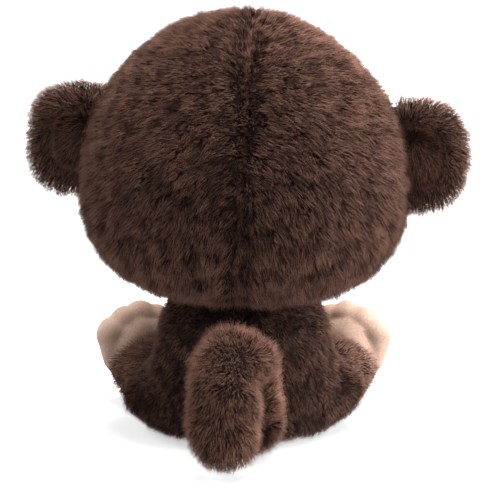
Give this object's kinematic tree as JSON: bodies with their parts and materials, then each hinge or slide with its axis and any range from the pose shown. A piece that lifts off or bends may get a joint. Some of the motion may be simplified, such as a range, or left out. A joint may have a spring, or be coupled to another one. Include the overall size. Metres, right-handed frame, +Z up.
{
  "type": "stuffed monkey",
  "caption": "Seated stuffed toy monkey: round plush head with side ears, pear-shaped body, stubby limbs with pale velour feet, and a thick curled tail.",
  "frame": {"origin": "on the floor plane under the neck, at the centre of the seat panel", "axes": "+Z up, face looks along -Y, the toy's left side is +X, 1 unit = 1 m"},
  "size_m": [0.2515, 0.2392, 0.24],
  "materials": {
    "brown_plush": "matte",
    "pale_velour": "matte",
    "stuffing": "matte",
    "lining": "matte",
    "thread": "satin",
    "black_plastic": "glossy",
    "clear_plastic": "matte"
  },
  "bodies": {
    "torso": {"torso_back_left": "brown_plush", "torso_back_right": "brown_plush", "torso_front": "brown_plush", "seat_panel": "brown_plush", "torso_stuffing": "stuffing", "pellet_bag": "lining", "pellets": "clear_plastic"},
    "head": {"head_back_left": "brown_plush", "head_back_right": "brown_plush", "head_front": "brown_plush", "face": "pale_velour", "head_stuffing": "stuffing", "eye_left": "black_plastic", "eye_right": "black_plastic", "eye_washers": "clear_plastic", "muzzle": "pale_velour", "muzzle_stuffing": "stuffing", "nose": "thread", "mouth_stitch": "thread"},
    "tail": {"tail_skin": "brown_plush", "tail_stuffing": "stuffing"},
    "ear_left": {"ear_back_left": "brown_plush", "ear_front_left": "pale_velour", "ear_stuffing_left": "stuffing"},
    "arm_left": {"arm_skin_left": "brown_plush", "hand_left": "pale_velour", "arm_stuffing_left": "stuffing"},
    "leg_left": {"leg_skin_left": "brown_plush", "foot_left": "pale_velour", "leg_stuffing_left": "stuffing"},
    "ear_right": {"ear_back_right": "brown_plush", "ear_front_right": "pale_velour", "ear_stuffing_right": "stuffing"},
    "arm_right": {"arm_skin_right": "brown_plush", "hand_right": "pale_velour", "arm_stuffing_right": "stuffing"},
    "leg_right": {"leg_skin_right": "brown_plush", "foot_right": "pale_velour", "leg_stuffing_right": "stuffing"}
  },
  "joints": [
    {"name": "head_nod", "type": "hinge", "parent": "torso", "child": "head", "pos_m": [0, 0, 0.048], "axis": [1, 0, 0], "range_deg": [-6, 5], "stiffness_Nm_per_rad": 3},
    {"name": "tail_wag", "type": "hinge", "parent": "torso", "child": "tail", "pos_m": [0, 0.05, 0.022], "axis": [0, 0, 1], "range_deg": [-12, 12], "stiffness_Nm_per_rad": 0.25},
    {"name": "ear_left_fold", "type": "hinge", "parent": "head", "child": "ear_left", "pos_m": [0.09451, -0.01062, 0.16504], "axis": [-0.0314, 0.0019, 0.9995], "range_deg": [-15, 15], "stiffness_Nm_per_rad": 0.05},
    {"name": "arm_left_lift", "type": "hinge", "parent": "torso", "child": "arm_left", "pos_m": [0.032, -0.042, 0.058], "axis": [-1, 0, 0], "range_deg": [-6, 5], "stiffness_Nm_per_rad": 0.25},
    {"name": "leg_left_spread", "type": "hinge", "parent": "torso", "child": "leg_left", "pos_m": [0.042, -0.036, 0.024], "axis": [0, 0, 1], "range_deg": [-5, 14], "stiffness_Nm_per_rad": 0.5},
    {"name": "ear_right_fold", "type": "hinge", "parent": "head", "child": "ear_right", "pos_m": [-0.10225, 0.00107, 0.15885], "axis": [0.0314, -0.0019, -0.9995], "range_deg": [-15, 15], "stiffness_Nm_per_rad": 0.05},
    {"name": "arm_right_lift", "type": "hinge", "parent": "torso", "child": "arm_right", "pos_m": [-0.032, -0.042, 0.058], "axis": [-1, 0, 0], "range_deg": [-6, 5], "stiffness_Nm_per_rad": 0.25},
    {"name": "leg_right_spread", "type": "hinge", "parent": "torso", "child": "leg_right", "pos_m": [-0.042, -0.036, 0.024], "axis": [0, 0, -1], "range_deg": [-5, 14], "stiffness_Nm_per_rad": 0.5}
  ]
}
